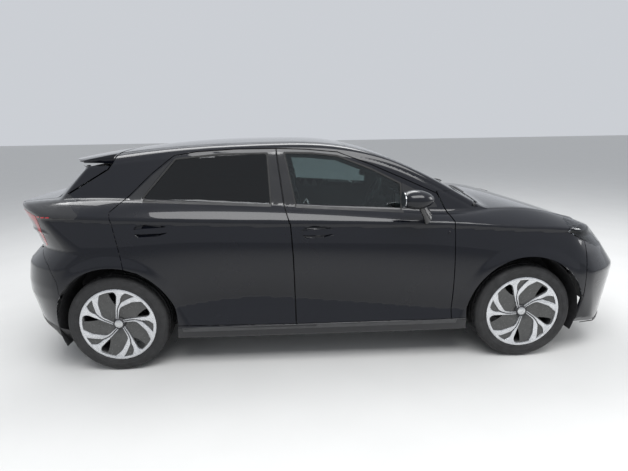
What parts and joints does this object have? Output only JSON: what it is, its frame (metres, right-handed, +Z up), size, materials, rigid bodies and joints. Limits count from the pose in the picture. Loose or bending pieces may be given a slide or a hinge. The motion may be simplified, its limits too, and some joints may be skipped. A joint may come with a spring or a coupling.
{
  "type": "hatchback car",
  "caption": "Battery-electric hatchback car with hinged doors, bonnet and tailgate, steered front wheels, hollow cabin and boot.",
  "frame": {"origin": "on the ground below the middle of the bounding box", "axes": "+X forward, +Y to the left side of the car, +Z up"},
  "size_m": [4.287, 2.1304, 1.5009],
  "materials": {
    "paint": "gloss",
    "bumper_paint": "gloss",
    "clear_glass": "gloss",
    "dark_glass": "gloss",
    "lamp_clear": "gloss",
    "lamp_red": "gloss",
    "black_trim": "matte",
    "seat_fabric": "matte",
    "structure": "satin",
    "cast": "satin",
    "battery_case": "satin",
    "tyre": "matte",
    "alloy": "satin",
    "wheel_leather": "matte"
  },
  "bodies": {
    "body": {"battery_pack": "battery_case", "body_side_left": "paint", "body_side_right": "paint", "dashboard": "black_trim", "drive_motor": "cast", "fender_left": "paint", "fender_right": "paint", "floor_pan": "structure", "front_bumper": "bumper_paint", "front_frame": "structure", "headlamp_left": "lamp_clear", "headlamp_right": "lamp_clear", "rear_bumper": "bumper_paint", "rear_frame": "structure", "rear_seat": "seat_fabric", "roof_panel": "paint", "seat_front_left": "seat_fabric", "seat_front_right": "seat_fabric", "tail_lamp_left": "lamp_red", "tail_lamp_right": "lamp_red", "windscreen": "clear_glass"},
    "knuckle_front_left": {"knuckle_left": "cast"},
    "wheel_front_left": {"tyre_front_left": "tyre", "rim_front_left": "alloy"},
    "wheel_rear_left": {"tyre_rear_left": "tyre", "rim_rear_left": "alloy"},
    "front_door_left": {"door_front_left": "paint", "door_glass_front_left": "clear_glass", "mirror_left": "paint"},
    "rear_door_left": {"door_rear_left": "paint", "door_glass_rear_left": "dark_glass"},
    "knuckle_front_right": {"knuckle_right": "cast"},
    "wheel_front_right": {"tyre_front_right": "tyre", "rim_front_right": "alloy"},
    "wheel_rear_right": {"tyre_rear_right": "tyre", "rim_rear_right": "alloy"},
    "front_door_right": {"door_front_right": "paint", "door_glass_front_right": "clear_glass", "mirror_right": "paint"},
    "rear_door_right": {"door_rear_right": "paint", "door_glass_rear_right": "dark_glass"},
    "bonnet": {"bonnet": "paint"},
    "tailgate": {"tailgate": "paint", "tailgate_glass": "dark_glass"},
    "steering_wheel": {"steering_wheel": "wheel_leather"}
  },
  "joints": [
    {"name": "steer_left", "type": "hinge", "parent": "body", "child": "knuckle_front_left", "pos_m": [1.301, 0.72, 0.225], "axis": [0, -0.1724, 0.985], "range_deg": [-34, 34]},
    {"name": "spin_front_left", "type": "hinge", "parent": "knuckle_front_left", "child": "wheel_front_left", "pos_m": [1.301, 0.775, 0.33], "axis": [0, 1, 0], "continuous": true},
    {"name": "spin_rear_left", "type": "hinge", "parent": "body", "child": "wheel_rear_left", "pos_m": [-1.404, 0.775, 0.33], "axis": [0, 1, 0], "continuous": true},
    {"name": "front_door_left_hinge", "type": "hinge", "parent": "body", "child": "front_door_left", "pos_m": [0.768, 0.885, 0.76], "axis": [0, 0, -1], "range_deg": [0, 65]},
    {"name": "rear_door_left_hinge", "type": "hinge", "parent": "body", "child": "rear_door_left", "pos_m": [-0.288, 0.885, 0.76], "axis": [0, 0, -1], "range_deg": [0, 65]},
    {"name": "steer_right", "type": "hinge", "parent": "body", "child": "knuckle_front_right", "pos_m": [1.301, -0.72, 0.225], "axis": [0, 0.1724, 0.985], "range_deg": [-34, 34]},
    {"name": "spin_front_right", "type": "hinge", "parent": "knuckle_front_right", "child": "wheel_front_right", "pos_m": [1.301, -0.775, 0.33], "axis": [0, 1, 0], "continuous": true},
    {"name": "spin_rear_right", "type": "hinge", "parent": "body", "child": "wheel_rear_right", "pos_m": [-1.404, -0.775, 0.33], "axis": [0, 1, 0], "continuous": true},
    {"name": "front_door_right_hinge", "type": "hinge", "parent": "body", "child": "front_door_right", "pos_m": [0.768, -0.885, 0.76], "axis": [0, 0, 1], "range_deg": [0, 65]},
    {"name": "rear_door_right_hinge", "type": "hinge", "parent": "body", "child": "rear_door_right", "pos_m": [-0.288, -0.885, 0.76], "axis": [0, 0, 1], "range_deg": [0, 65]},
    {"name": "bonnet_hinge", "type": "hinge", "parent": "body", "child": "bonnet", "pos_m": [1, 0, 1.036], "axis": [0, -1, 0], "range_deg": [0, 50]},
    {"name": "tailgate_hinge", "type": "hinge", "parent": "body", "child": "tailgate", "pos_m": [-1.415, 0, 1.427], "axis": [0, 1, 0], "range_deg": [0, 75]},
    {"name": "steering_wheel_turn", "type": "hinge", "parent": "body", "child": "steering_wheel", "pos_m": [0.47, 0.365, 0.955], "axis": [-0.9135, 0, 0.4067], "range_deg": [-480, 480]}
  ],
  "couplings": [
    {"joint": "steer_left", "follows": "steer_right", "ratio": 1},
    {"joint": "steering_wheel_turn", "follows": "steer_right", "ratio": 14}
  ]
}
